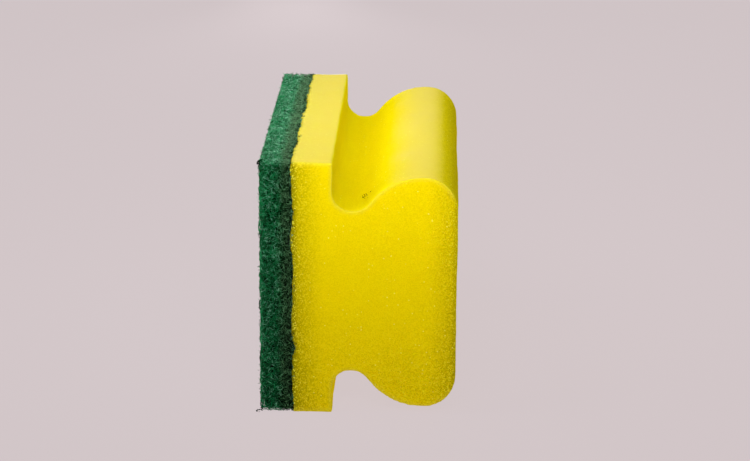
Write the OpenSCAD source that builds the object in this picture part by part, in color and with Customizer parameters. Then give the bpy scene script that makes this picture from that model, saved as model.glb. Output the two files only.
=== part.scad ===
// A kitchen cleaning sponge with finger grooves, standing on its long side.
// X runs from the scouring pad to the back of the foam, Y along the sponge, Z up.
// The origin is under the middle of the sponge, on the surface that it stands on.

/* [Overall] */
// Length of the sponge, front to back
sponge_l = 95; // [70:1:140]
// Width of the pad and the lip, which is the height of the standing sponge
pad_w = 65; // [63:0.5:80]

/* [Scouring pad] */
// Thickness of the fibre pad
pad_t = 7.2; // [4:0.2:12]
// Radius that the two long outer edges of the pad are worn to
pad_edge_r = 1.2; // [0.4:0.1:3]

/* [Glue seam] */
// Thickness of the dark glue line between the pad and the foam
glue_t = 0.9; // [0.3:0.1:1.5]

/* [Foam body] */
// Thickness of the flat lip beside the finger groove
lip_t = 10; // [6:0.5:13]
// Radius of the finger groove's bottom
groove_r = 4.9; // [3.5:0.1:6]
// Width of the foam between the bottoms of the two grooves
waist_w = 40.8; // [36:0.2:46]
// Width of the foam over its two crests
crest_w = 60; // [54:0.2:62]
// Distance of the crest lines from the glued face of the foam
crest_x = 32.5; // [30:0.5:38]
// Slope of the flank that climbs from the groove to the crest, in degrees
flank_deg = 51; // [45:0.5:56]
// Radius that carries the crest over to the flat back
crest_r = 8.4; // [5:0.2:14]
// How far the foam's profile lies below the middle of the pad, from the trimming cut
profile_drop = 0.8; // [0:0.1:1.2]

/* [Hidden] */
// Facets of a full circle in the preview
round_fn = 96;

foam_t = crest_x + crest_r;
sponge_t = pad_t + glue_t + foam_t;
// Where the layers begin along X
pad_x0 = -sponge_t / 2;
glue_x0 = pad_x0 + pad_t;
foam_x0 = glue_x0 + glue_t;
// Height of the foam profile's own middle line
profile_z = pad_w / 2 - profile_drop;

// Centres of the arcs, measured from the glued face and the profile's middle line
groove_c = [lip_t + groove_r, waist_w / 2 + groove_r];
crest_c = [crest_x, crest_w / 2 - crest_r];
// The flank is a straight line that touches the groove's arc below and the slope's arc above
flank_normal = [-sin(flank_deg), cos(flank_deg)];
groove_to_crest = [crest_x, crest_w / 2] - groove_c;
slope_r = (sin(flank_deg) * groove_to_crest.x - cos(flank_deg) * groove_to_crest.y - groove_r)
    / (1 - cos(flank_deg));
slope_c = [crest_x, crest_w / 2 - slope_r];
flank_foot = groove_c - groove_r * flank_normal;
flank_head = slope_c + slope_r * flank_normal;

// Draws a flat profile over the whole length of the sponge
module along_sponge() {
    translate([0, sponge_l / 2, 0])
        rotate([90, 0, 0])
            linear_extrude(sponge_l)
                children();
}

// A quarter of a disc, from the centre towards +X and +Y
module quarter_disc(r) {
    intersection() {
        circle(r, $fn = round_fn);
        square(r);
    }
}

// Half a disc, on the side of the centre that faces the groove
module groove_side_disc(r) {
    intersection() {
        circle(r, $fn = round_fn);
        translate([-r, -r])
            square([r, 2 * r]);
    }
}

// One side of the foam above its middle line, with the groove, the flank and the crest
module foam_half_profile() {
    difference() {
        union() {
            polygon([
                [0, 0], [foam_t, 0], [foam_t, crest_c.y], crest_c,
                flank_head, flank_foot, groove_c, [0, groove_c.y]
            ]);
            translate(slope_c) groove_side_disc(slope_r);
            translate(crest_c) quarter_disc(crest_r);
        }
        translate(groove_c) circle(groove_r, $fn = round_fn);
    }
}

// The whole section of the foam: two mirrored halves and the lip that the pad is glued to
module foam_profile() {
    square([lip_t, pad_w]);
    translate([0, profile_z]) {
        foam_half_profile();
        mirror([0, 1]) foam_half_profile();
    }
}

// The section of the pad, with its two outer corners worn round
module pad_profile() {
    translate([pad_edge_r, 0])
        square([pad_t - pad_edge_r, pad_w]);
    translate([0, pad_edge_r])
        square([pad_edge_r, pad_w - 2 * pad_edge_r]);
    for (side = [0, 1])
        translate([pad_edge_r, side == 0 ? pad_edge_r : pad_w - pad_edge_r])
            rotate(side == 0 ? 180 : 90)
                quarter_disc(pad_edge_r);
}

module scouring_pad() {
    color("darkgreen")
        translate([pad_x0, 0, 0])
            along_sponge() pad_profile();
}

module glue_seam() {
    color([0.05, 0.13, 0.08])
        translate([glue_x0, 0, 0])
            along_sponge() square([glue_t, pad_w]);
}

module foam_body() {
    color("gold")
        translate([foam_x0, 0, 0])
            along_sponge() foam_profile();
}

scouring_pad();
glue_seam();
foam_body();
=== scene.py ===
# %% [markdown]
# A cleaning sponge with a finger groove along each long side, standing on its side.
#
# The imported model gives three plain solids: the fibre pad, the line of glue and the foam. Each of
# them is soft and rough on the real sponge, so each gets a piece of its own here, built in the
# solid's own place. Everything is in metres, in the frame of the solids.

# %% Load the frame
import math
import bpy
import numpy as np
from mathutils import Matrix, Vector
from mathutils.kdtree import KDTree


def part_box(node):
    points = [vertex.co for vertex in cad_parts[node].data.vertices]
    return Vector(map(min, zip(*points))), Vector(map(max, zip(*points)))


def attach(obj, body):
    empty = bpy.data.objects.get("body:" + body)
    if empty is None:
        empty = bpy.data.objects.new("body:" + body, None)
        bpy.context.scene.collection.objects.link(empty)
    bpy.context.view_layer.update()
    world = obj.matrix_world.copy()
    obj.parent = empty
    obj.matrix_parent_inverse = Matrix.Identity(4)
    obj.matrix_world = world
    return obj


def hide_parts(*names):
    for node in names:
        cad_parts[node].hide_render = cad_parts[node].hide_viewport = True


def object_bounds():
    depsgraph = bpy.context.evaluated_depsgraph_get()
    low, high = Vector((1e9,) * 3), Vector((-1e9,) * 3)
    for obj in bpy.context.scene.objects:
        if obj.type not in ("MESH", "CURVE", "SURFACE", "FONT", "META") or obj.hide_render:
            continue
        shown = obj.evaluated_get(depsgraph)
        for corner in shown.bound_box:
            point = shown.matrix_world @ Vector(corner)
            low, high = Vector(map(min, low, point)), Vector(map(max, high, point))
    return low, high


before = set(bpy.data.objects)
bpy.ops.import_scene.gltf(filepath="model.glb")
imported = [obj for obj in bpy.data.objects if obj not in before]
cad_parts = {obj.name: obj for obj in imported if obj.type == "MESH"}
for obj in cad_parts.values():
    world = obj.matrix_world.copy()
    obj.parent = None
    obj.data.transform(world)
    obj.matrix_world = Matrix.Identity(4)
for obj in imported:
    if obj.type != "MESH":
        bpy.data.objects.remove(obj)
cad_low, cad_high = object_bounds()
MM = 0.001
pad_low, pad_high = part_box("scouring_pad")
glue_low, glue_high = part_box("glue_seam")
foam_low, foam_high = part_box("foam_body")
print("the solids span", [round(c / MM, 1) for c in cad_high - cad_low], "mm")

# %% [markdown]
# The camera comes first, because the size of every detail is chosen by how large it looks. The
# photograph was taken with a long lens from about 60 cm, looking down by 17 degrees. The direction
# is written as three turns of a camera that looks straight down: up to the horizon, to the left,
# and a slight roll.

# %% Camera
QUARTER_TURN = math.radians(90)
CAMERA_PLACE = Vector((18.3, -585.4, 214.3)) * MM
CAMERA_DOWN = math.radians(17.17)
CAMERA_LEFT = math.radians(1.51)
CAMERA_ROLL = math.radians(0.44)
SENSOR_WIDTH = 36
FOCAL_LENGTH = 110
camera_data = bpy.data.cameras.new("camera")
camera_data.sensor_width = SENSOR_WIDTH
camera_data.lens = FOCAL_LENGTH
camera = bpy.data.objects.new("camera", camera_data)
bpy.context.scene.collection.objects.link(camera)
camera.matrix_world = (
    Matrix.Translation(CAMERA_PLACE)
    @ Matrix.Rotation(CAMERA_LEFT, 4, "Z")
    @ Matrix.Rotation(QUARTER_TURN - CAMERA_DOWN, 4, "X")
    @ Matrix.Rotation(CAMERA_ROLL, 4, "Z")
)
bpy.context.scene.camera = camera
bpy.context.scene.view_settings.view_transform = "Standard"
middle = (cad_low + cad_high) / 2
print("camera", round((CAMERA_PLACE - middle).length, 3), "m from the sponge")

# %% [markdown]
# Materials are written as sums. A Wire holds one output socket of a node, and the signs + - *
# between wires and numbers add the Math nodes, so that a pattern reads as it would on paper.

# %% Sums on wires


class Wire:
    """One output socket, with the signs of arithmetic."""

    def __init__(self, finish, socket):
        self.finish = finish
        self.socket = socket

    def maths(self, operation, *terms):
        return self.finish.node("Math", {"operation": operation}, dict(enumerate(terms)))

    def __add__(self, other):
        return self.maths("ADD", self, other)

    def __sub__(self, other):
        return self.maths("SUBTRACT", self, other)

    def __rsub__(self, other):
        return self.maths("SUBTRACT", other, self)

    def __mul__(self, other):
        return self.maths("MULTIPLY", self, other)

    __radd__ = __add__
    __rmul__ = __mul__

    def ramp(self, start, end):
        """Turns smoothly from 0 at start to 1 at end. Start may be the larger."""
        sockets = {"Value": self, "From Min": start, "From Max": end}
        return self.finish.node("MapRange", {"interpolation_type": "SMOOTHSTEP"}, sockets)


print("wires take the signs + - * and can be ramped")

# %% [markdown]
# A Finish holds one material. Its node method adds any node that is not a sum, and its points method
# gives places on the piece in millimetres, so that a pattern's scale reads as so many cells to the
# millimetre. The noise takes a fourth number besides the place, so that two patterns of one scale
# can differ.

# %% Materials
# A Mix node has sockets of one name for numbers, vectors and colours, so the colour ones go by number
MIX_SHARE = 0
MIX_FIRST = 6
MIX_SECOND = 7
MIX_RESULT = 2


class Finish:
    """One material and its nodes."""

    def __init__(self, name):
        self.material = bpy.data.materials.new(name)
        self.material.use_nodes = True
        self.tree = self.material.node_tree
        self.shader = self.tree.nodes["Principled BSDF"]

    def plug(self, socket, value):
        """Links a wire to a socket, or sets the socket's own value."""
        if isinstance(value, Wire):
            self.tree.links.new(value.socket, socket)
        elif isinstance(value, tuple) and len(value) == 3 and socket.type == "RGBA":
            socket.default_value = (*value, 1)
        else:
            socket.default_value = value

    def node(self, kind, settings, sockets, output=0):
        """Adds a node: its settings first, then the values or wires of its sockets."""
        added = self.tree.nodes.new("ShaderNode" + kind)
        for key, value in settings.items():
            setattr(added, key, value)
        for key, value in sockets.items():
            self.plug(added.inputs[key], value)
        return Wire(self, added.outputs[output])

    def set(self, **sockets):
        """Sets the shader's sockets, with spaces in their names written as _."""
        for key, value in sockets.items():
            self.plug(self.shader.inputs[key.replace("_", " ")], value)

    def points(self):
        """Places on the piece in millimetres."""
        place = self.node("TexCoord", {}, {}, "Object")
        settings = {"operation": "SCALE"}
        return self.node("VectorMath", settings, {"Vector": place, "Scale": 1 / MM})

    def along(self, points, axis):
        """The places' X, Y or Z."""
        return self.node("SeparateXYZ", {}, {"Vector": points}, axis)

    def stored(self, name):
        """The number that the mesh keeps at its vertices under this name."""
        return self.node("Attribute", {"attribute_name": name}, {}, "Fac")

    def noise(self, points, per_mm, detail=2, pattern=0):
        """Soft noise. Another pattern number gives another noise of the same scale."""
        sockets = {"Vector": points, "W": pattern, "Scale": per_mm, "Detail": detail}
        return self.node("TexNoise", {"noise_dimensions": "4D"}, sockets)

    def cells(self, points, per_mm):
        """The distance to the nearest cell's middle, in cells, and a random number of that cell."""
        near = self.node("TexVoronoi", {}, {"Vector": points, "Scale": per_mm}, "Distance")
        colour = Wire(self, near.socket.node.outputs["Color"])
        return near, self.node("SeparateColor", {}, {"Color": colour}, "Red")

    def mix(self, share, colour, other):
        """A colour that is share of the way from one colour to the other."""
        sockets = {MIX_SHARE: share, MIX_FIRST: colour, MIX_SECOND: other}
        return self.node("Mix", {"data_type": "RGBA"}, sockets, MIX_RESULT)

    def bump(self, height, depth_mm, strength):
        """Feeds the shader's Normal with a relief that is depth_mm deep for a height of 1."""
        sockets = {"Strength": strength, "Distance": depth_mm * MM, "Height": height}
        self.set(Normal=self.node("Bump", {}, sockets))


def dimmed(colour, share):
    """A colour darkened to a share of itself."""
    return tuple(share * part for part in colour)


print("patterns measure a metre as", round(1 / MM), "mm")

# %% [markdown]
# The foam is cut from a block by a shaped blade, so its form is one outline carried along the whole
# length. Each groove is an arc that runs smoothly into a straight flank, the flank into the wide arc
# of the slope, and the slope into the crest. The places where they meet are worked out from the
# radii. The upper and lower halves mirror each other about a line a little below the middle of the
# pad, where the trimming cut left it.

# %% The foam's section
LIP = 10 * MM
GROOVE_R = 4.9 * MM
WAIST = 40.8 * MM
CREST_SPAN = 60 * MM
CREST_OUT = 32.5 * MM
CREST_R = 8.4 * MM
FLANK = math.radians(51)
PROFILE_DROP = 0.8 * MM

lip_x = foam_low.x + LIP
middle_z = (foam_low.z + foam_high.z) / 2 - PROFILE_DROP
groove = Vector((lip_x + GROOVE_R, WAIST / 2 + GROOVE_R))
crest = Vector((foam_low.x + CREST_OUT, CREST_SPAN / 2 - CREST_R))
rise = Vector((crest.x, CREST_SPAN / 2)) - groove
slope_r = (math.sin(FLANK) * rise.x - math.cos(FLANK) * rise.y - GROOVE_R) / (1 - math.cos(FLANK))
slope = Vector((crest.x, CREST_SPAN / 2 - slope_r))
flank_out = Vector((-math.sin(FLANK), math.cos(FLANK)))
flank_foot = groove - GROOVE_R * flank_out
flank_head = slope + slope_r * flank_out
print("the slope's arc has a radius of", round(slope_r / MM, 1), "mm")

# %% [markdown]
# The outline could be carved from a cube by booleans, but it is drawn here as a hand would draw it. A
# tiny plane is merged to a single point, and the point is extruded along the straight stretches and
# spun round the centres of the arcs. The closed outline is filled, and its face is extruded along the
# sponge.

# %% Draw the foam
ARC_STEP = math.radians(6)
SAME_PLACE = 0.01 * MM


def draw_line(dx, dz):
    """Extrudes the selected point by a straight stretch of the outline."""
    bpy.ops.mesh.extrude_region_move(TRANSFORM_OT_translate={"value": (dx, 0, dz)})


def draw_arc(centre, angle, side):
    """Spins the selected point round a centre. Side is 1 above the middle line and -1 below it."""
    place = (centre.x, foam_low.y, middle_z + side * centre.y)
    steps = math.ceil(abs(angle) / ARC_STEP)
    bpy.ops.mesh.spin(steps=steps, angle=angle, center=place, axis=(0, 1, 0))


bpy.ops.object.select_all(action="DESELECT")
bpy.ops.mesh.primitive_plane_add(size=MM, location=foam_low, rotation=(QUARTER_TURN, 0, 0))
foam = bpy.context.object
foam.name = "foam_block"
bpy.ops.object.transform_apply(location=True, rotation=True, scale=True)
bpy.ops.object.mode_set(mode="EDIT")
bpy.ops.mesh.select_all(action="SELECT")
bpy.ops.mesh.merge(type="CENTER")
draw_line(0, foam_high.z - foam_low.z)
draw_line(LIP, 0)
draw_line(0, middle_z + groove.y - foam_high.z)
draw_arc(groove, QUARTER_TURN + FLANK, 1)
draw_line(*(flank_head - flank_foot))
draw_arc(slope, -FLANK, 1)
draw_arc(crest, -QUARTER_TURN, 1)
draw_line(0, -2 * crest.y)
draw_arc(crest, -QUARTER_TURN, -1)
draw_arc(slope, -FLANK, -1)
draw_line(flank_foot.x - flank_head.x, flank_head.y - flank_foot.y)
draw_arc(groove, QUARTER_TURN + FLANK, -1)
draw_line(0, foam_low.z - (middle_z - groove.y))
draw_line(-LIP, 0)
bpy.ops.mesh.select_all(action="SELECT")
bpy.ops.mesh.remove_doubles(threshold=SAME_PLACE)
bpy.ops.mesh.edge_face_add()
bpy.ops.mesh.extrude_region_move(
    TRANSFORM_OT_translate={"value": (0, foam_high.y - foam_low.y, 0)}
)
bpy.ops.mesh.select_all(action="SELECT")
bpy.ops.mesh.normals_make_consistent(inside=False)
bpy.ops.object.mode_set(mode="OBJECT")
print("the foam block has", len(foam.data.polygons), "faces before the remesh")

# %% [markdown]
# A saw leaves foam nearly flat, with soft edges and a faint unevenness that a straight extrusion
# lacks. A voxel remesh turns the long faces into an even net that can be moved in and out, and the
# net is smoothed a little, which rounds the cut edges. Then Displace modifiers with soft noise move
# it. The pad and the glue are made uneven in the same way later.

# %% Even net and lumps
# Cloud noise runs from 0 to 1, so the skin stays in place where it has this value
NOISE_MIDDLE = 0.5


def even_net(piece, voxel, smoothing):
    """Remeshes the active piece into even squares and softens its edges."""
    piece.data.remesh_voxel_size = voxel
    bpy.ops.object.voxel_remesh()
    soften = piece.modifiers.new("soften", "SMOOTH")
    soften.iterations = smoothing
    bpy.ops.object.modifier_apply(modifier="soften")


def roughen(piece, grain, height, detail=1, **limits):
    """Moves the active piece's skin in and out by half of height, in soft lumps of size grain."""
    lumps = bpy.data.textures.new("lumps", "CLOUDS")
    lumps.noise_scale = grain
    lumps.noise_depth = detail
    push = piece.modifiers.new("push", "DISPLACE")
    push.texture = lumps
    push.strength = height
    push.mid_level = NOISE_MIDDLE
    for key, value in limits.items():
        setattr(push, key, value)
    bpy.ops.object.modifier_apply(modifier="push")


print("a piece can be given an even net and lumps")

# %% [markdown]
# Where the pad is glued on, the pieces meet in a line that winds a little. One noise shifts the pad,
# the glue, the foam and later the fibres there, so they stay together. Low on the near end the pad
# bulges into the foam, where the glue has run into a torn hole. Noise can also push a piece through
# the floor that the sponge stands on, so its foot is flattened.

# %% Winding seam and flat foot
SEAM_REACH = 4 * MM
# The size and the height of the slow waves and of the quick ones
SEAM_WAVES = [(7 * MM, 1.0 * MM), (1.5 * MM, 0.5 * MM)]
BULGE_PLACE = Vector((glue_high.x, glue_low.y, 17 * MM))
BULGE_RADIUS = 2.2 * MM
BULGE_DEPTH = 0.9 * MM


def sway(piece):
    """Winds the seam to and fro across the active piece, fading out with the distance from it."""
    seam = piece.vertex_groups.new(name="seam")
    for vertex in piece.data.vertices:
        distance = max(glue_low.x - vertex.co.x, vertex.co.x - glue_high.x, 0)
        share = max(1 - distance / SEAM_REACH, 0)
        seam.add([vertex.index], share, "REPLACE")
        aside = (vertex.co - BULGE_PLACE).yz.length / BULGE_RADIUS
        vertex.co.x += share * BULGE_DEPTH * max(1 - aside, 0)
    for grain, height in SEAM_WAVES:
        roughen(piece, grain, height, detail=0, vertex_group="seam", direction="X")
    piece.vertex_groups.clear()


def keep_above_floor(piece):
    """Flattens what the noise pushed through the floor."""
    for vertex in piece.data.vertices:
        vertex.co.z = max(vertex.co.z, cad_low.z)


def join_sponge(piece, node):
    """Lets a soft piece stand for its solid, and shades it smooth."""
    piece.data.shade_smooth()
    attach(piece, "root")
    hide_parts(node)


print("the seam winds by up to", round(sum(height for _, height in SEAM_WAVES) / 2 / MM, 2), "mm")

# %% [markdown]
# The foam gets slow waves, and a fine grain that shows at its outline. The cut also left the upper
# groove a little shallower than the lower one, so its floor is lifted.

# %% The foam's skin
FOAM_VOXEL = 0.66 * MM
# The size and the height of the waves and of the grain
FOAM_LUMPS = [(14 * MM, 0.5 * MM), (0.9 * MM, 0.12 * MM)]
GROOVE_LIFT = 0.7 * MM


def lift_groove(piece):
    """Raises the upper groove's floor. The lip, the crest and the waist's middle stay in place."""
    for vertex in piece.data.vertices:
        rising = (vertex.co.z - middle_z) / (WAIST / 2)
        falling = (foam_high.z - vertex.co.z) / (foam_high.z - middle_z - WAIST / 2)
        inwards = (vertex.co.x - foam_low.x) / LIP
        outwards = (crest.x - vertex.co.x) / (crest.x - groove.x)
        share = max(min(rising, falling, 1), 0) * max(min(inwards, outwards, 1), 0)
        vertex.co.z += GROOVE_LIFT * share


even_net(foam, FOAM_VOXEL, smoothing=2)
for grain, height in FOAM_LUMPS:
    roughen(foam, grain, height)
lift_groove(foam)
sway(foam)
keep_above_floor(foam)
join_sponge(foam, "foam_body")
print("the foam has", len(foam.data.polygons), "squares")

# %% [markdown]
# Light soaks into foam and comes out again near a cut edge, so the front rim of the groove and the
# crest looks paler than the faces beside it. The renderer could work this out from deep subsurface
# scattering, but that is slow and grainy. So the mesh stores numbers at its vertices, and the
# material reads them. The first one, rim, is 1 at the rim and falls to 0 a little away from it.
# Vertices on the side walls are put in a k-d tree, which finds the nearest one to each vertex on the
# cut ends.

# %% Paleness at the rims
RIM_REACH = 1.1 * MM
END_FACING = 0.7


def store(piece, name, values):
    """Keeps one number for each vertex, for the material to read."""
    piece.data.attributes.new(name, "FLOAT", "POINT").data.foreach_set("value", values)


def vertex_arrays(piece):
    """The places and the outward directions of all vertices."""
    count = len(piece.data.vertices)
    places = np.zeros(count * 3, np.float32)
    piece.data.vertices.foreach_get("co", places)
    outward = np.zeros(count * 3, np.float32)
    piece.data.vertex_normals.foreach_get("vector", outward)
    return places.reshape(-1, 3), outward.reshape(-1, 3)


places, outward = vertex_arrays(foam)
on_end = np.abs(outward[:, 1]) > END_FACING
to_end = np.minimum(places[:, 1] - foam_low.y, foam_high.y - places[:, 1])
between_faces = (places[:, 0] > foam_low.x + MM) & (places[:, 0] < foam_high.x - MM)
walls = np.flatnonzero(~on_end & between_faces)
side_walls = KDTree(len(walls))
for index in walls:
    side_walls.insert(Vector(places[index]), int(index))
side_walls.balance()
rim_gap = np.where(between_faces, np.abs(to_end), RIM_REACH)
for index in np.flatnonzero(on_end):
    _, _, rim_gap[index] = side_walls.find(Vector(places[index]))
store(foam, "rim", np.clip(1 - rim_gap / RIM_REACH, 0, 1))
print("rim vertices:", int((rim_gap < RIM_REACH).sum()))

# %% [markdown]
# Three more numbers are stored in the same way. The first marks the top of the lip and of the crest,
# apart from the groove and the slope that were cut into it. A paler yellow is painted there, for the
# light that these upper faces catch, and they get a thin rough coat. Glow marks where a paler yellow
# is painted for the light that soaks through the lip into the groove, and in at its ends. Shady marks
# the cut ends and what faces up. The painted shade towards the foam's outer edge goes there, but not
# on its flat back.

# %% Painted pale tops, painted glow and shady places
PALE_TOP_ABOVE_GROOVE = 1.5 * MM
PALE_TOP_FADE = 3 * MM
PALE_TOP_SLOPE = 0.78
GLOW_REACH = 9 * MM
SHADY_SLOPE = 0.6

from_middle = np.abs(places[:, 2] - middle_z)
above_groove = np.clip((from_middle - groove.y - PALE_TOP_ABOVE_GROOVE) / PALE_TOP_FADE, 0, 1)
flatness = np.clip((np.abs(outward[:, 2]) - PALE_TOP_SLOPE) / (1 - PALE_TOP_SLOPE), 0, 1)
# A paler yellow is painted on these upper faces, for the light that they catch
store(foam, "dry", np.where(on_end, 0, above_groove * flatness))
in_groove = (places[:, 0] > lip_x - MM) & (places[:, 0] < groove.x)
through_lip = np.where(in_groove, np.clip(outward[:, 0], 0, 1), 0)
through_end = np.clip(1 - np.abs(to_end) / GLOW_REACH, 0, 1) ** 2
# A paler yellow is painted on these places, for the light that soaks in through the lip and the ends
store(foam, "glow", np.where(on_end, 0, np.maximum(through_lip, through_end * (1 - above_groove))))
facing_up = np.clip(outward[:, 2] / SHADY_SLOPE, 0, 1)
# The painted shade of the outer edge goes only where this number is high
store(foam, "shady", np.maximum(np.abs(outward[:, 1]), facing_up))
print("dry vertices:", int((above_groove * flatness > 0).sum()))

# %% [markdown]
# The cut tears the foam's cells open beside the glue, along the outer edge and towards the foot. A
# painted shade makes the foam darker beside the glue and along the outer edge too, and darkest in a
# thin band at the very edge. Ramps along X and Z say how torn each place is and how much shade is
# painted on it.

# %% Torn zones and painted shade
# How far the zones reach in from a face, and how far past it they would be full, in millimetres
TORN_REACH = 9.0
TORN_PAST = 3
EDGE_BAND_REACH = 1.8
# The shares by which the zones are torn, and the shares of painted shade in them
TORN_ANYWHERE = 0.12
TORN_OUTSIDE = 0.7
TORN_LOW = 0.4
PAINTED_SHADE_BESIDE_GLUE = 0.45
PAINTED_SHADE_GLUE_BAND = 0.37
PAINTED_SHADE_OUTSIDE = 0.32
PAINTED_SHADE_OUTER_BAND = 0.26


def foam_zones(look, points):
    """How torn the foam is, how near the glue's edge, and how much shade is painted on it."""
    across = look.along(points, "X")
    shady = look.stored("shady")
    glue_side = foam_low.x / MM
    outer_side = foam_high.x / MM
    beside_glue = across.ramp(glue_side + TORN_REACH, glue_side - TORN_PAST)
    glue_edge_band = across.ramp(glue_side + EDGE_BAND_REACH, glue_side)
    outside = across.ramp(outer_side - TORN_REACH, outer_side + TORN_PAST) * shady
    outer_edge_band = across.ramp(outer_side - EDGE_BAND_REACH, outer_side) * shady
    low_down = look.along(points, "Z").ramp(middle_z / MM, 0)
    torn = TORN_ANYWHERE + beside_glue + outside * TORN_OUTSIDE + low_down * TORN_LOW
    painted_shade_inside = beside_glue * PAINTED_SHADE_BESIDE_GLUE + glue_edge_band * PAINTED_SHADE_GLUE_BAND
    return torn, glue_edge_band, painted_shade_inside + outside * PAINTED_SHADE_OUTSIDE + outer_edge_band * PAINTED_SHADE_OUTER_BAND


print("torn for", TORN_REACH, "mm beside the glue, painted_darkest for", EDGE_BAND_REACH, "mm")

# %% [markdown]
# The foam's finish is made of patterns in one bright yellow. A fine noise gives the grain of cells
# that are too small to see. A second noise is cut at its highest and lowest values: the high spots
# are dark pits, and the low ones are pale cell walls. Few show in the middle of a face, and many
# where the foam is torn. Wide Voronoi cells hold the few walls that glisten: they are smoother and
# stand up a little, and their paler yellow is a painted highlight. Painted light and shade are mixed
# in as well: a paler yellow on the upper faces of the lip and the crest and where light soaks through
# the lip, and a dark olive beside the glue and along the outer edge. The upper faces also get a thin
# rough coat. Subsurface scattering lets light soak a few millimetres into the foam, which softens its
# shading.

# %% Foam finish
GRAINS_PER_MM = 3.2
PATCHES_PER_MM = 0.35
SPECKS_PER_MM = 3.3
GLINTS_PER_MM = 1.1
# The values of a pattern between which it turns on
GRAIN_RAMP = (0.3, 0.7)
PIT_RAMP = (0.50, 0.60)
FLECK_RAMP = (0.46, 0.34)
GLINT_RAMP = (0.27, 0.08)
CHOSEN_CELLS = (0.75, 1)
PATCH_SHARE = 0.3
SPECK_SHARE = 0.5
RIM_SHARE = 0.25
# The relief, and how high the patterns stand in it
FOAM_RELIEF_MM = 0.12
GRAIN_HEIGHT = 0.5
GLINT_HEIGHT = 0.5
PIT_DEPTH = 0.7
FOAM_ROUGHNESS = 0.8
GLINT_POLISH = 0.3
TOP_COAT = 0.7
FLECK_COAT = 0.3
PAINTED_SHADE = (0.10, 0.095, 0.0006)
YELLOW = (0.95, 0.765, 0.0006)
DARK_YELLOW = (0.82, 0.65, 0.0006)
PIT = (0.28, 0.25, 0.0006)
FLECK = (0.98, 0.90, 0.05)
PAINTED_GLOW_YELLOW = (1.0, 0.83, 0.002)
PALE_RIM = (0.72, 0.58, 0.035)
PAINTED_PALE_TOP_YELLOW = (0.86, 0.675, 0.05)
PAINTED_GLINT = (1.0, 0.92, 0.12)


def foam_finish():
    look = Finish("yellow_foam")
    points = look.points()
    torn, glue_edge_band, dark = foam_zones(look, points)
    grain = look.noise(points, GRAINS_PER_MM)
    patches = look.noise(points, PATCHES_PER_MM)
    speck = look.noise(points, SPECKS_PER_MM, detail=1, pattern=5)
    pit = torn * speck.ramp(*PIT_RAMP)
    fleck = (torn + glue_edge_band) * speck.ramp(*FLECK_RAMP)
    to_middle, chance = look.cells(points, GLINTS_PER_MM)
    glint = to_middle.ramp(*GLINT_RAMP) * chance.ramp(*CHOSEN_CELLS)
    dry = look.stored("dry")
    lightness = grain.ramp(*GRAIN_RAMP) * (1 - PATCH_SHARE) + patches * PATCH_SHARE
    yellow = look.mix(lightness, DARK_YELLOW, YELLOW)
    # Painted light: a paler yellow where light soaks through the lip and in at the ends
    yellow = look.mix(look.stored("glow"), yellow, PAINTED_GLOW_YELLOW)
    # Painted shade: darker olive beside the glue and along the outer edge
    yellow = look.mix(dark, yellow, PAINTED_SHADE)
    yellow = look.mix(pit * SPECK_SHARE, yellow, PIT)
    # Painted light: a paler yellow on the upper faces of the lip and the crest
    yellow = look.mix(dry, yellow, PAINTED_PALE_TOP_YELLOW)
    yellow = look.mix(look.stored("rim") * (RIM_SHARE + grain), yellow, PALE_RIM)
    yellow = look.mix(fleck * SPECK_SHARE, yellow, FLECK)
    # Painted highlight: a paler yellow on the glinting cell walls, which are also smoother and raised
    yellow = look.mix(glint, yellow, PAINTED_GLINT)
    relief = grain * GRAIN_HEIGHT + glint * GLINT_HEIGHT - pit * PIT_DEPTH
    look.bump(relief, FOAM_RELIEF_MM, strength=0.5)
    look.set(
        Base_Color=yellow,
        Roughness=FOAM_ROUGHNESS - GLINT_POLISH * glint,
        Specular_IOR_Level=0,
        Coat_Weight=dry * (TOP_COAT + FLECK_COAT * fleck),
        Coat_Roughness=0.6,
        Coat_IOR=1.35,
        Subsurface_Weight=0.5,
        Subsurface_Radius=(1, 0.85, 0.1),
        Subsurface_Scale=3.5 * MM,
    )
    return look.material


foam.data.materials.append(foam_finish())
print("the foam's finish has", len(foam.active_material.node_tree.nodes), "nodes")

# %% [markdown]
# The scouring pad is a web of stiff green fibres bonded with resin. The eye sees single fibres only
# on the surface, and darkness between them. So the pad is made of two things: a dark, lumpy core
# that stands for the depth of the web, and loose fibres laid over it as real geometry. The core
# starts as a cube at the solid's size, a little smaller, and its two worn edges are bevelled.

# %% The pad's core
CORE_INSET = 0.9 * MM
FOOT_INSET = CORE_INSET / 4
WORN_EDGE = 1.2 * MM
PAD_VOXEL = 0.8 * MM
# The size and the height of the wide lumps and of the small ones
CORE_LUMPS = [(6 * MM, 0.5 * MM), (0.9 * MM, 0.5 * MM)]


def add_block(name, low, high):
    """Adds a cube stretched between two corners, with its place in its mesh."""
    bpy.ops.object.select_all(action="DESELECT")
    bpy.ops.mesh.primitive_cube_add(size=1, location=(low + high) / 2)
    block = bpy.context.object
    block.name = name
    block.scale = high - low
    bpy.ops.object.transform_apply(location=True, rotation=True, scale=True)
    return block


def bevel_edges(piece, wanted, width, segments):
    """Bevels the edges that the test accepts by the places of their ends."""
    bpy.ops.object.mode_set(mode="EDIT")
    bpy.ops.mesh.select_all(action="DESELECT")
    bpy.ops.mesh.select_mode(type="EDGE")
    bpy.ops.object.mode_set(mode="OBJECT")
    for edge in piece.data.edges:
        ends = [piece.data.vertices[index].co for index in edge.vertices]
        edge.select = wanted(*ends)
    bpy.ops.object.mode_set(mode="EDIT")
    bpy.ops.mesh.bevel(offset=width, segments=segments, affect="EDGES")
    bpy.ops.object.mode_set(mode="OBJECT")


def on_worn_edge(start, end):
    """Accepts the edges along the sponge at the pad's outer face."""
    outside = max(start.x, end.x) < pad_low.x + 2 * CORE_INSET
    return outside and abs(start.y - end.y) > WORN_EDGE


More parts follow.
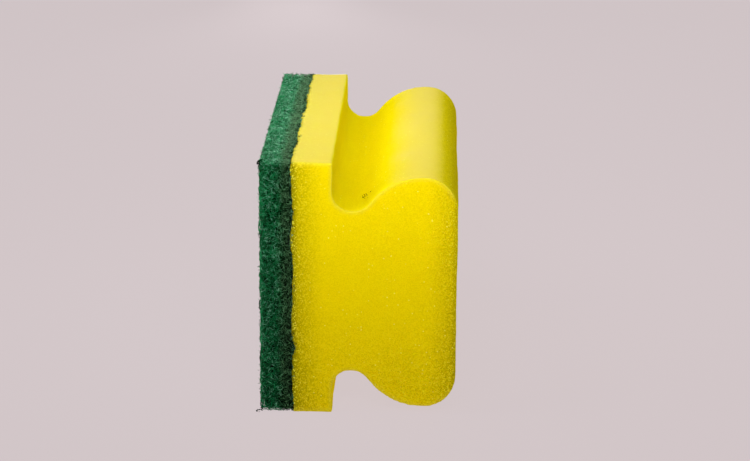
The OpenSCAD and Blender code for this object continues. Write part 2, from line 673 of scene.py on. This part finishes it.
core_low = pad_low + Vector((CORE_INSET, CORE_INSET, FOOT_INSET))
core = add_block("pad_core", core_low, pad_high - Vector((0, CORE_INSET, CORE_INSET)))
bevel_edges(core, on_worn_edge, WORN_EDGE, segments=3)
even_net(core, PAD_VOXEL, smoothing=1)
for grain, height in CORE_LUMPS:
    roughen(core, grain, height)
sway(core)
keep_above_floor(core)
join_sponge(core, "scouring_pad")
print("the pad's core has", len(core.data.polygons), "squares")

# %% [markdown]
# The glue is a thin dark sheet between the pad and the foam, and only its ragged rim shows. It is a
# block too, with an even net fine enough for a ragged line, and it winds with its neighbours. It
# reaches a little way into them, so that no light comes through, and it ends a little inside the cut
# faces, so that the rim is a dark crevice with fibres across it.

# %% The glue seam
GLUE_SPREAD = 0.12 * MM
GLUE_RECESS = 0.45 * MM
GLUE_LUMP = 0.8 * MM
GLUE_LUMP_HEIGHT = 0.35 * MM
glue_change = Vector((GLUE_SPREAD, -GLUE_RECESS, -GLUE_RECESS))
glue = add_block("glue_line", glue_low - glue_change, glue_high + glue_change)
even_net(glue, PAD_VOXEL, smoothing=0)
roughen(glue, GLUE_LUMP, GLUE_LUMP_HEIGHT)
sway(glue)
keep_above_floor(glue)
join_sponge(glue, "glue_seam")
print("the glue line has", len(glue.data.polygons), "squares")

# %% [markdown]
# Fibres by the thousand are too many to model one by one, and hair particles would leave no mesh to
# keep. So they are worked out as arrays. Every fibre is a walk over the pad's surface: it starts at
# a random place with a random heading, takes short steps while it turns slowly, and is put back on
# a box with rounded edges after each step, so that it bends round the pad's corners by itself. It
# weaves in and out of the surface as it goes, and its ends dive into the core.

# %% Walks over the pad
DIVE = 0.4 * MM
DIVE_SHARPNESS = 3
DEPTH_BIAS = 1.5
WEB_ROUNDING = WORN_EDGE / 2
# Keeps a division by the length of a vector from failing
SHORTEST = 1e-9


def unit(vectors):
    """The vectors with a length of 1."""
    return vectors / np.maximum(np.linalg.norm(vectors, axis=-1, keepdims=True), SHORTEST)


def on_rounded_box(points, low, high, radius):
    """The nearest places on a box with rounded edges, and the outward directions there."""
    inside = np.clip(points, low + radius, high - radius)
    faces = unit(points - inside)
    return inside + faces * radius, faces


def start_places(chance, low, high, axis, side, per_mm2):
    """Random places on one side of a box, and the direction that this side faces."""
    spans = np.delete(high - low, axis) / MM
    count = int(spans[0] * spans[1] * per_mm2)
    points = low + chance.random((count, 3)) * (high - low)
    points[:, axis] = (low, high)[side][axis]
    faces = np.zeros((count, 3))
    faces[:, axis] = 2 * side - 1
    return points, faces


def turned_to_surface(heading, faces):
    """The headings laid flat on the surface, with a length of 1."""
    return unit(heading - faces * (heading * faces).sum(axis=1, keepdims=True))


def walk(chance, points, faces, box, step, bends, curl, weave, depth):
    """The fibres' paths over a box, as an array of fibre, point and coordinate."""
    count = len(points)
    heading = turned_to_surface(chance.normal(size=(count, 3)), faces)
    turn = chance.normal(0, curl, (count, 1))
    phase = chance.random((count, 1)) * math.tau
    level = -depth * chance.random((count, 1)) ** DEPTH_BIAS
    paths = []
    for index in range(bends):
        share = index / (bends - 1)
        wave = level + weave * np.sin(phase + math.tau * share)
        dive = DIVE * abs(2 * share - 1) ** DIVE_SHARPNESS
        paths.append(points + faces * (wave - dive))
        turn += chance.normal(0, curl / 2, (count, 1))
        heading = heading * np.cos(turn) + np.cross(faces, heading) * np.sin(turn)
        points, faces = on_rounded_box(points + heading * step, *box, WEB_ROUNDING)
        heading = turned_to_surface(heading, faces)
    return np.stack(paths, axis=1)


print("a fibre's ends dive", round(DIVE / MM, 1), "mm into the pad")

# %% [markdown]
# Each path becomes a closed tube with three sides and pointed ends, which is the cheapest solid
# that still catches light like a round fibre when it is shaded smooth. One random number for each
# fibre goes with it, so that the material can tint fibres apart.

# %% Tubes round the walks
TUBE_SIDES = 3
# No fibre is likely to run in just this direction, so the sides can be measured from it
ODD_DIRECTION = np.array((0.31, 0.52, 0.79))


def tube_corners(paths, radii):
    """A ring of corners round each inner point of every path, and then the two tips."""
    ahead = unit(np.gradient(paths, axis=1))
    across = unit(np.cross(ahead, ODD_DIRECTION))
    upward = np.cross(ahead, across)
    rings = []
    for side in range(TUBE_SIDES):
        angle = math.tau * side / TUBE_SIDES
        offset = math.cos(angle) * across + math.sin(angle) * upward
        rings.append((paths + offset * radii[:, None, None])[:, 1:-1])
    ring_points = np.stack(rings, axis=2).reshape(len(paths), -1, 3)
    return np.concatenate([ring_points, paths[:, :1], paths[:, -1:]], axis=1)


def tube_faces(points):
    """The squares of one tube and the triangles at its tips, by the numbers of their corners."""
    first_tip = (points - 2) * TUBE_SIDES
    last_ring = first_tip - TUBE_SIDES
    squares = []
    tips = []
    for side in range(TUBE_SIDES):
        after = (side + 1) % TUBE_SIDES
        for ring in range(0, last_ring, TUBE_SIDES):
            here = ring + side
            there = ring + after
            squares.append((here, there, there + TUBE_SIDES, here + TUBE_SIDES))
        tips.append((after, side, first_tip))
        tips.append((last_ring + side, last_ring + after, first_tip + 1))
    return np.array(squares), np.array(tips)


def tubes(name, paths, radii, tints):
    """One mesh piece with a closed tapered tube round every path."""
    corners = tube_corners(paths, radii)
    squares, tips = tube_faces(paths.shape[1])
    start = np.arange(len(paths))[:, None, None] * corners.shape[1]
    faces = (start + squares).reshape(-1, 4).tolist()
    faces += (start + tips).reshape(-1, 3).tolist()
    mesh = bpy.data.meshes.new(name)
    mesh.from_pydata(corners.reshape(-1, 3).tolist(), [], faces)
    mesh.shade_smooth()
    piece = bpy.data.objects.new(name, mesh)
    bpy.context.scene.collection.objects.link(piece)
    store(piece, "tint", np.repeat(tints, corners.shape[1]).astype(np.float32))
    bpy.context.view_layer.objects.active = piece
    sway(piece)
    keep_above_floor(piece)
    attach(piece, "root")
    return piece


def add_fibres(name, paths, radii, darkness, chance):
    """Makes the paths a piece that belongs to the pad. More darkness means fewer pale fibres."""
    piece = tubes(name, paths, radii, chance.random(len(paths)) ** darkness)
    print(name, len(paths), "fibres", len(piece.data.polygons), "faces")
    return piece


print("a tube has", TUBE_SIDES, "sides")

# %% [markdown]
# The pad's sides differ. A blade cut the four narrow ones, so their fibres are short and lie close.
# The outer face keeps the long, thick fibres of the web. A few strays stand off on all sides, and
# fine hairs lie along the edge of the glue. Each whole side is a piece of its own, because a piece
# may have only so many triangles, and because the sides get different finishes.

# %% Cover the pad
SEAM_OVERLAP = 0.4 * MM
SEAM_HAIR_SPREAD = 0.4 * MM
LENGTH_SPREAD = (0.6, 1.4)
RADIUS_SPREAD = (0.6, 1.6)
# A side is the number of its axis, and 0 or 1 for its low or high end
FRONT = (1, 0)
BACK = (1, 1)
TOP = (2, 1)
FOOT = (2, 0)
OUTER_FACE = (0, 0)
CUT_SIDES = [FRONT, BACK, TOP, FOOT]
ALL_SIDES = [*CUT_SIDES, OUTER_FACE]


def lay_fibres(name, seed, sides, per_mm2, darkness, starts, box, length, radius, bends, **style):
    """Covers some sides of a box with fibres that start on them."""
    chance = np.random.default_rng(seed)
    paths = []
    for side in sides:
        points, faces = start_places(chance, *starts, *side, per_mm2)
        step = length / (bends - 1) * chance.uniform(*LENGTH_SPREAD, (len(points), 1))
        paths.append(walk(chance, points, faces, box, step, bends, **style))
    paths = np.concatenate(paths)
    radii = radius * chance.uniform(*RADIUS_SPREAD, len(paths))
    return add_fibres(name, paths, radii, darkness, chance)


web_box = (np.array(pad_low), np.array((glue_high.x + SEAM_OVERLAP, pad_high.y, pad_high.z)))
sponge_box = (np.array(cad_low), np.array(cad_high))
seam_low = np.array((glue_high.x - SEAM_HAIR_SPREAD, cad_low.y, cad_low.z))
seam_high = np.array((glue_high.x + SEAM_HAIR_SPREAD, cad_high.y, cad_high.z))
seam_box = (seam_low, seam_high)
cut_web = dict(length=1.4 * MM, radius=0.043 * MM, bends=4, curl=0.5, weave=0.1 * MM, depth=0.9 * MM)
face_web = dict(length=4.5 * MM, radius=0.09 * MM, bends=5, curl=0.35, weave=0.2 * MM, depth=0.6 * MM)
stray_web = dict(length=2.5 * MM, radius=0.06 * MM, bends=5, curl=0.3, weave=0.5 * MM, depth=0.2 * MM)
seam_web = dict(length=0.9 * MM, radius=0.08 * MM, bends=5, curl=0.4, weave=0.08 * MM, depth=0)
# The numbers are the seed, the fibres to the square millimetre and the darkness
webs = [
    lay_fibres("web_front", 3, [FRONT], 14, 1.9, web_box, web_box, **cut_web),
    lay_fibres("web_back", 4, [BACK], 8, 1.9, web_box, web_box, **cut_web),
    # The top's low darkness gives it paler fibres: painted light, for the light that the top catches
    lay_fibres("web_top", 5, [TOP], 9, 0.7, web_box, web_box, **cut_web),
    lay_fibres("web_foot", 6, [FOOT], 4, 0.7, web_box, web_box, **cut_web),
    lay_fibres("web_face", 7, [OUTER_FACE], 1.2, 1.5, web_box, web_box, **face_web),
    lay_fibres("web_strays", 11, ALL_SIDES, 0.1, 3, web_box, web_box, **stray_web),
    lay_fibres("seam_hairs", 13, CUT_SIDES, 3, 3, seam_box, sponge_box, **seam_web),
]

# %% [markdown]
# The blade that cut the pad to size left short ends standing up on its narrow sides, and they
# sparkle. They are walks through the air. A fibre turns by the same small turn at every step, so
# that it bends into an arc or a loop.

# %% Cut ends
STUB_LENGTH = 0.7 * MM
STUB_ROOT = 0.3 * MM
STUB_RADIUS = 0.045 * MM
STUB_RADIUS_SPREAD = (0.7, 1.3)
STUB_LEAN = 0.9
STUB_BENDS = 3
STUB_CURL = 0.3
LOOSE_SEED = 17
STEP_SPREAD = (0.5, 1.3)


def curl_away(chance, points, heading, length, bends, curl):
    """Paths that leave the points along their headings and curl at random."""
    heading = unit(heading)
    turn = chance.normal(0, curl, heading.shape)
    step = length / (bends - 1) * chance.uniform(*STEP_SPREAD, (len(points), 1))
    paths = []
    for _ in range(bends):
        paths.append(points)
        heading = unit(heading + np.cross(turn, heading))
        points = points + heading * step
    return np.stack(paths, axis=1)


def add_stubs(name, sides, per_mm2, chance):
    """Covers some sides of the web with short ends that stand up."""
    paths = []
    for side in sides:
        points, faces = start_places(chance, *web_box, *side, per_mm2)
        heading = faces + chance.normal(0, STUB_LEAN, faces.shape)
        roots = points - faces * STUB_ROOT
        paths.append(curl_away(chance, roots, heading, STUB_LENGTH, STUB_BENDS, STUB_CURL))
    paths = np.concatenate(paths)
    radii = STUB_RADIUS * chance.uniform(*STUB_RADIUS_SPREAD, len(paths))
    return add_fibres(name, paths, radii, darkness=1, chance=chance)


loose_chance = np.random.default_rng(LOOSE_SEED)
webs.append(add_stubs("stubs_ends", [FRONT, BACK], per_mm2=5, chance=loose_chance))
webs.append(add_stubs("stubs_top", [TOP], per_mm2=6, chance=loose_chance))

# %% [markdown]
# A few fibres have come loose besides. Some curl out from the two near corners of the pad, and a
# crumb of short ones lies in the upper groove, near its front end. The crumb is set on the foam by
# casting rays down onto it, and its fibres set off along the foam.

# %% Loose fibres
LOOSE_BENDS = 7
LOOSE_DARKNESS = 6
CORNER_HAIRS = 7
CORNER_LENGTH = 1.4 * MM
CORNER_RADIUS = 0.17 * MM
CORNER_SPREAD = 0.4 * MM
CORNER_HEADING = np.array((-1, -0.5, 0))
CORNER_LEAN = 0.6
CORNER_CURL = 0.6
CRUMB_HAIRS = 12
CRUMB_PLACE = Vector((1.6, -38)) * MM
CRUMB_SPREAD = Vector((0.35, 1.3)) * MM
CRUMB_LENGTH = 0.8 * MM
CRUMB_RADIUS = 0.07 * MM
CRUMB_LIFT = 0.05 * MM
CRUMB_CURL = 0.45


def corner_hairs(chance):
    """Paths that curl out from the pad's two near corners."""
    corners = [(pad_low.x, pad_low.y, pad_high.z), (pad_low.x, pad_low.y, pad_low.z)]
    roots = np.repeat(np.array(corners), CORNER_HAIRS, axis=0)
    roots = roots + chance.normal(0, CORNER_SPREAD, roots.shape)
    heading = CORNER_HEADING + chance.normal(0, CORNER_LEAN, roots.shape)
    return curl_away(chance, roots, heading, CORNER_LENGTH, LOOSE_BENDS, CORNER_CURL)


def crumb_hairs(chance):
    """Paths that start on the foam, close to the crumb's place."""
    roots = []
    headings = []
    for _ in range(CRUMB_HAIRS):
        aside, further = [chance.normal(0, spread) for spread in CRUMB_SPREAD]
        above = (CRUMB_PLACE.x + aside, CRUMB_PLACE.y + further, cad_high.z + MM)
        _, place, normal, _ = foam.ray_cast(above, (0, 0, -1))
        roots.append(place + normal * CRUMB_LIFT)
        headings.append(normal.cross(Vector(chance.normal(size=3))))
    roots = np.array(roots)
    return curl_away(chance, roots, np.array(headings), CRUMB_LENGTH, LOOSE_BENDS, CRUMB_CURL)


loose_paths = [corner_hairs(loose_chance), crumb_hairs(loose_chance)]
loose_radii = np.repeat([CORNER_RADIUS, CRUMB_RADIUS], [len(paths) for paths in loose_paths])
loose_paths = np.concatenate(loose_paths)
loose_fibres = add_fibres("loose_fibres", loose_paths, loose_radii, LOOSE_DARKNESS, loose_chance)

# %% [markdown]
# The web's finish mixes a deep and a light green by each fibre's own number, and the lightest fibres
# may be paler still. Towards the foam the glue has crept up the fibres and turned them grey or
# nearly black. One function makes the finish for every part of the pad, darker or duller as needed.

# %% Web finish
CREEP_REACH = 3.4
CREEP_FULL = CREEP_REACH / 5
CREEP_WANDER = 3.2
CREEPS_PER_MM = 0.6
CLUMPS_PER_MM = 0.45
CLUMP_SHARE = 0.2
STRANDS_PER_MM = 3.2
STRAND_RELIEF_MM = 0.2
FIBRE_ROUGHNESS = 0.45
CLUMP_ROUGHNESS = 0.3
# The fibres' numbers between which a colour turns on
LIGHT_TINTS = (0, 0.7)
PALE_TINTS = (0.74, 0.96)
GREY_TINTS = (0.1, 0.9)
DEEP_GREEN = (0.001, 0.03, 0.006)
LIGHT_GREEN = (0.02, 0.40, 0.125)
PALE_GREEN = (0.34, 0.82, 0.54)
DEEP_GREY = (0.001, 0.022, 0.003)
LIGHT_GREY = (0.17, 0.42, 0.18)


def web_finish(name, shade, shine, pale):
    """Green fibres darkened to the share shade. The lightest ones are paler, by the share pale."""
    look = Finish(name)
    points = look.points()
    tint = look.stored("tint")
    clumps = look.noise(points, CLUMPS_PER_MM)
    wander = look.noise(points, CREEPS_PER_MM, detail=3, pattern=2) - NOISE_MIDDLE
    from_seam = glue_low.x / MM + CREEP_WANDER * wander - look.along(points, "X")
    glued = from_seam.ramp(CREEP_REACH, CREEP_FULL)
    lightness = tint.ramp(*LIGHT_TINTS) * (1 - CLUMP_SHARE) + clumps * CLUMP_SHARE
    green = look.mix(lightness, dimmed(DEEP_GREEN, shade), dimmed(LIGHT_GREEN, shade))
    green = look.mix(tint.ramp(*PALE_TINTS) * pale, green, PALE_GREEN)
    grey = look.mix(tint.ramp(*GREY_TINTS), dimmed(DEEP_GREY, shade), dimmed(LIGHT_GREY, shade))
    look.bump(look.noise(points, STRANDS_PER_MM), STRAND_RELIEF_MM, strength=0.5)
    look.set(
        Base_Color=look.mix(glued, green, grey),
        Roughness=FIBRE_ROUGHNESS + CLUMP_ROUGHNESS * clumps,
        Specular_IOR_Level=shine,
    )
    return look.material


print("the glue creeps up the fibres for", CREEP_REACH, "mm")

# %% [markdown]
# The core and the loose fibres are much darker than the web, because little light comes back from
# inside the pad, or from a thin hair against a pale floor. Many fibres of the cut sides are pale, but
# few of the outer face and of the strays. The top gets a lit copy of the cut sides' finish, with a
# strong shine and the palest fibres, which paints on the light that the top catches. The glue is
# nearly black, with strands in it.

# %% Pad and glue finishes
GLUE_STRANDS_PER_MM = 2.2
GLUE_STRAND_RAMP = (0.45, 0.75)
GLUE_RELIEF_MM = 0.25
GLUE_ROUGHNESS = 0.9
GLUE_POLISH = 0.2
BLACK_GLUE = (0.0015, 0.005, 0.0015)
GREY_GLUE = (0.012, 0.028, 0.013)


def glue_finish():
    look = Finish("dark_glue")
    points = look.points()
    strands = look.noise(points, GLUE_STRANDS_PER_MM)
    dark = look.mix(strands.ramp(*GLUE_STRAND_RAMP), BLACK_GLUE, GREY_GLUE)
    look.bump(strands, GLUE_RELIEF_MM, strength=0.7)
    roughness = GLUE_ROUGHNESS - GLUE_POLISH * strands
    look.set(Base_Color=dark, Roughness=roughness, Specular_IOR_Level=0.1)
    return look.material


glue.data.materials.append(glue_finish())
core.data.materials.append(web_finish("web_inside", shade=0.12, shine=0, pale=0))
loose_fibres.data.materials.append(web_finish("shaded_fibres", shade=0.2, shine=0, pale=0))
cut_green = web_finish("web_fibres", shade=1, shine=0.08, pale=0.9)
plain_green = web_finish("plain_fibres", shade=1, shine=0.08, pale=0.15)
# A lit copy of the finish for the top: more shine and the palest fibres, as painted light
lit_top_green = web_finish("lit_top_fibres", shade=1, shine=0.5, pale=1)
own_finish = {"web_top": lit_top_green, "stubs_top": lit_top_green}
own_finish.update(web_face=plain_green, web_strays=plain_green)
for web in webs:
    web.data.materials.append(own_finish.get(web.name, cut_green))
print(len(own_finish), "of", len(webs), "webs have a finish other than the cut sides'")

# %% [markdown]
# The stage is a plain pale floor that runs on without an edge, so that it also fills the view behind
# the sponge. It glows a little, as a light table does, which keeps it even and its shadows faint.

# %% Stage
FLOOR_SIZE = 60
FLOOR_GLOW = (0.621, 0.545, 0.5575)
FLOOR_PAINT = (0.05, 0.044, 0.045)
MOTTLES_PER_MM = 0.004
MOTTLE_DIMMING = 0.97


def floor_finish():
    look = Finish("pale_floor")
    mottle = look.noise(look.points(), MOTTLES_PER_MM)
    look.set(Base_Color=look.mix(mottle, FLOOR_PAINT, dimmed(FLOOR_PAINT, MOTTLE_DIMMING)))
    look.set(Emission_Color=FLOOR_GLOW, Emission_Strength=1, Roughness=0.9, Specular_IOR_Level=0)
    return look.material


bpy.ops.object.select_all(action="DESELECT")
bpy.ops.mesh.primitive_plane_add(size=FLOOR_SIZE, location=(0, 0, cad_low.z))
floor = bpy.context.object
floor.name = "floor"
bpy.ops.object.transform_apply(location=True, rotation=True, scale=True)
floor.data.materials.append(floor_finish())
print("the floor is", FLOOR_SIZE, "m wide")

# %% [markdown]
# The light is soft. A panel in front is aimed above the sponge, so that its edge feathers off
# towards the sponge's foot. One on the left fills the groove's slope, and a faint one on the right
# lights the flat back. A low one behind grazes the upper faces and makes them paler, and one at floor
# height keeps the far end from going dark.

# %% Light
SKY_STRENGTH = 0.08
SKY_COLOUR = (1, 0.98, 0.97, 1)
PANEL_SPREAD = math.radians(80)


def add_panel(name, place, aim, size, watts):
    """A square area light that looks at a place, and that no camera sees."""
    panel = bpy.data.lights.new(name, "AREA")
    panel.size = size
    panel.energy = watts
    panel.spread = PANEL_SPREAD
    holder = bpy.data.objects.new(name, panel)
    bpy.context.scene.collection.objects.link(holder)
    holder.visible_camera = False
    holder.location = place
    holder.rotation_mode = "QUATERNION"
    holder.rotation_quaternion = (Vector(aim) - Vector(place)).to_track_quat("-Z", "Y")


sky = bpy.data.worlds.new("sky")
sky.use_nodes = True
sky.node_tree.nodes["Background"].inputs["Color"].default_value = SKY_COLOUR
sky.node_tree.nodes["Background"].inputs["Strength"].default_value = SKY_STRENGTH
bpy.context.scene.world = sky
add_panel("front_panel", (0.01, -0.20, 0.235), aim=(0.01, -0.01, 0.166), size=0.18, watts=0.293)
add_panel("left_panel", (-0.16, -0.04, 0.22), aim=middle, size=0.18, watts=0.073)
add_panel("right_panel", (0.30, 0.14, 0.10), aim=middle, size=0.2, watts=0.02)
add_panel("back_panel", (0, 0.42, 0.18), aim=middle, size=0.3, watts=0.074)
add_panel("back_fill", (-0.05, 0.50, 0.035), aim=middle, size=0.05, watts=0.12)
print("lights:", len(bpy.data.lights))
